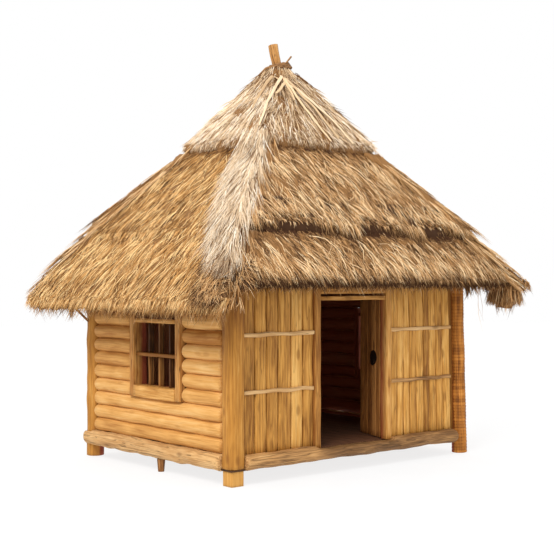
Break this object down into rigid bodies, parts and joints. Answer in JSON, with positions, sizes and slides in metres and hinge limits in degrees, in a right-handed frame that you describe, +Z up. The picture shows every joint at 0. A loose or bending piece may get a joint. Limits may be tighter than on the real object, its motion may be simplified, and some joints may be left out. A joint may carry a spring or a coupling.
{
  "type": "thatched hut",
  "caption": "Small timber hut on corner posts with log side walls, barred windows, a plank front with an open double door and a steep hipped roof of thatch in stepped courses.",
  "frame": {"origin": "on the ground under the roof's apex, in the middle of the plan", "axes": "+X along the front wall to the right as seen from outside, +Y from the front to the rear, +Z up"},
  "size_m": [5.1, 4.1974, 5.3657],
  "materials": {
    "post_wood": "peeled round timber, honey coloured",
    "bound_post": "round timber bound with cane, orange brown",
    "sill_wood": "weathered grey brown timber",
    "frame_wood": "rough brown timber",
    "floor_wood": "worn boards",
    "log_wood": "peeled logs, golden",
    "rail_wood": "split timber, golden",
    "plank_wood": "split planks, ochre",
    "batten_wood": "pale weathered battens",
    "door_wood": "brown boards",
    "dark_iron": "dark forged iron",
    "thatch": "combed straw, golden brown",
    "pale_straw": "fresh straw, cream",
    "vine_cord": "twisted vine, dark brown"
  },
  "bodies": {
    "hut": {"front_left_post": "post_wood", "front_right_post": "bound_post", "rear_left_post": "post_wood", "rear_right_post": "post_wood", "front_sill": "sill_wood", "rear_sill": "sill_wood", "left_sill": "sill_wood", "right_sill": "sill_wood", "sill_legs": "sill_wood", "floor_joists": "frame_wood", "floor_deck": "floor_wood", "left_wall_long_logs": "log_wood", "left_wall_short_logs": "log_wood", "left_window_stiles": "frame_wood", "left_window_rails": "rail_wood", "right_wall_long_logs": "log_wood", "right_wall_short_logs": "log_wood", "right_window_stiles": "frame_wood", "right_window_rails": "rail_wood", "front_left_panel": "plank_wood", "front_right_panel": "plank_wood", "rear_panel": "plank_wood", "wall_battens": "batten_wood", "door_jambs": "rail_wood", "door_lintel": "rail_wood", "door_head": "rail_wood", "pivot_cleats": "frame_wood", "lower_plates": "frame_wood", "upper_plates": "frame_wood", "hip_rafters": "frame_wood", "jack_rafters": "frame_wood", "king_post": "frame_wood", "eave_brace": "frame_wood", "lower_thatch": "thatch", "middle_thatch": "thatch", "cap_thatch": "thatch", "hip_strips": "pale_straw", "finial_stake": "frame_wood", "cap_binding": "vine_cord"},
    "left_leaf": {"left_door_leaf": "door_wood", "left_leaf_ledges": "door_wood", "left_door_pull": "dark_iron"},
    "right_leaf": {"right_door_leaf": "door_wood", "right_leaf_ledges": "door_wood", "right_door_pull": "dark_iron"}
  },
  "joints": [
    {"name": "left_leaf_swing", "type": "hinge", "parent": "hut", "child": "left_leaf", "pos_m": [-0.68, -1.365, 0.3], "axis": [0, 0, -1], "range_deg": [-40, 110.5]},
    {"name": "right_leaf_swing", "type": "hinge", "parent": "hut", "child": "right_leaf", "pos_m": [0.51, -1.365, 0.3], "axis": [0, 0, 1], "range_deg": [-40, 110.5]}
  ]
}
